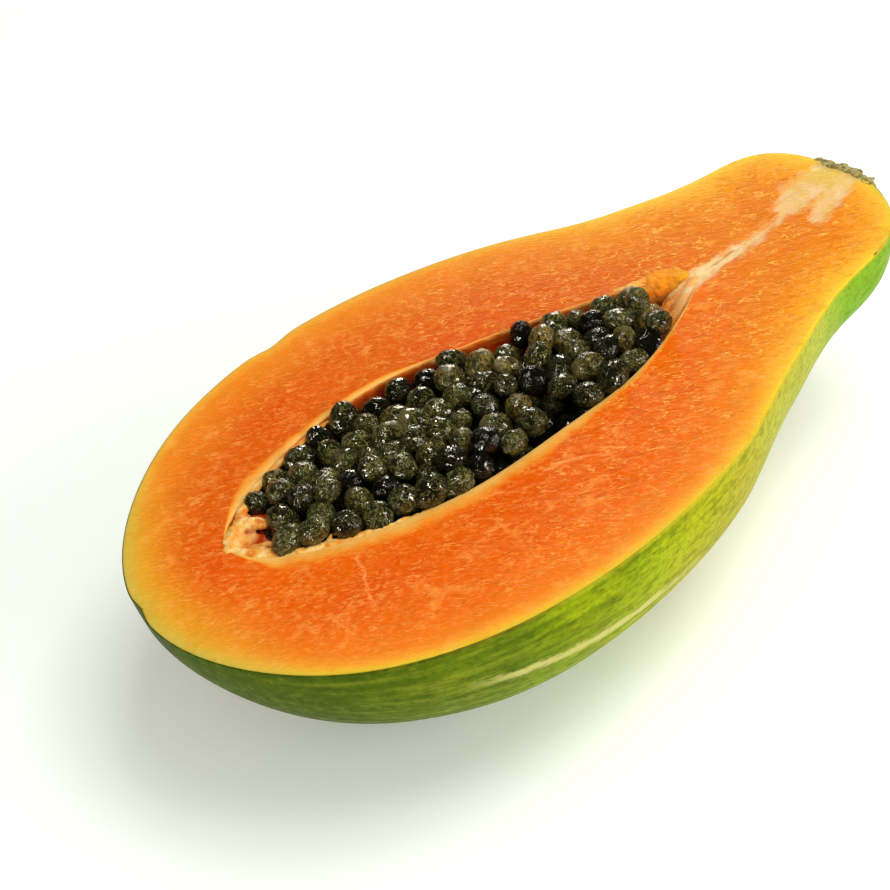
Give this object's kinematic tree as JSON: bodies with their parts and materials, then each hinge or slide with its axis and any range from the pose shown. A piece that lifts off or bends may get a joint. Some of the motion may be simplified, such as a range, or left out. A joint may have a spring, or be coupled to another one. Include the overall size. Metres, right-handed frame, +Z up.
{
  "type": "papaya half",
  "caption": "Pear-shaped fruit half, cut lengthwise, with a level cut face, a seed-filled hollow and a small flat spot to rest on.",
  "frame": {"origin": "middle of the bottom side of the bounding box, on the surface that the belly rests on", "axes": "+Z up, square to the cut face; +X from the blossom end to the stem end; +Y toward the side that the neck leans to"},
  "size_m": [0.2026, 0.121, 0.0611],
  "materials": {
    "flesh": "moist orange flesh",
    "seed": "wet dark seed coats",
    "skin": "waxy green to yellow skin"
  },
  "bodies": {
    "root": {"fruit": "flesh", "seeds": "seed"}
  },
  "joints": []
}
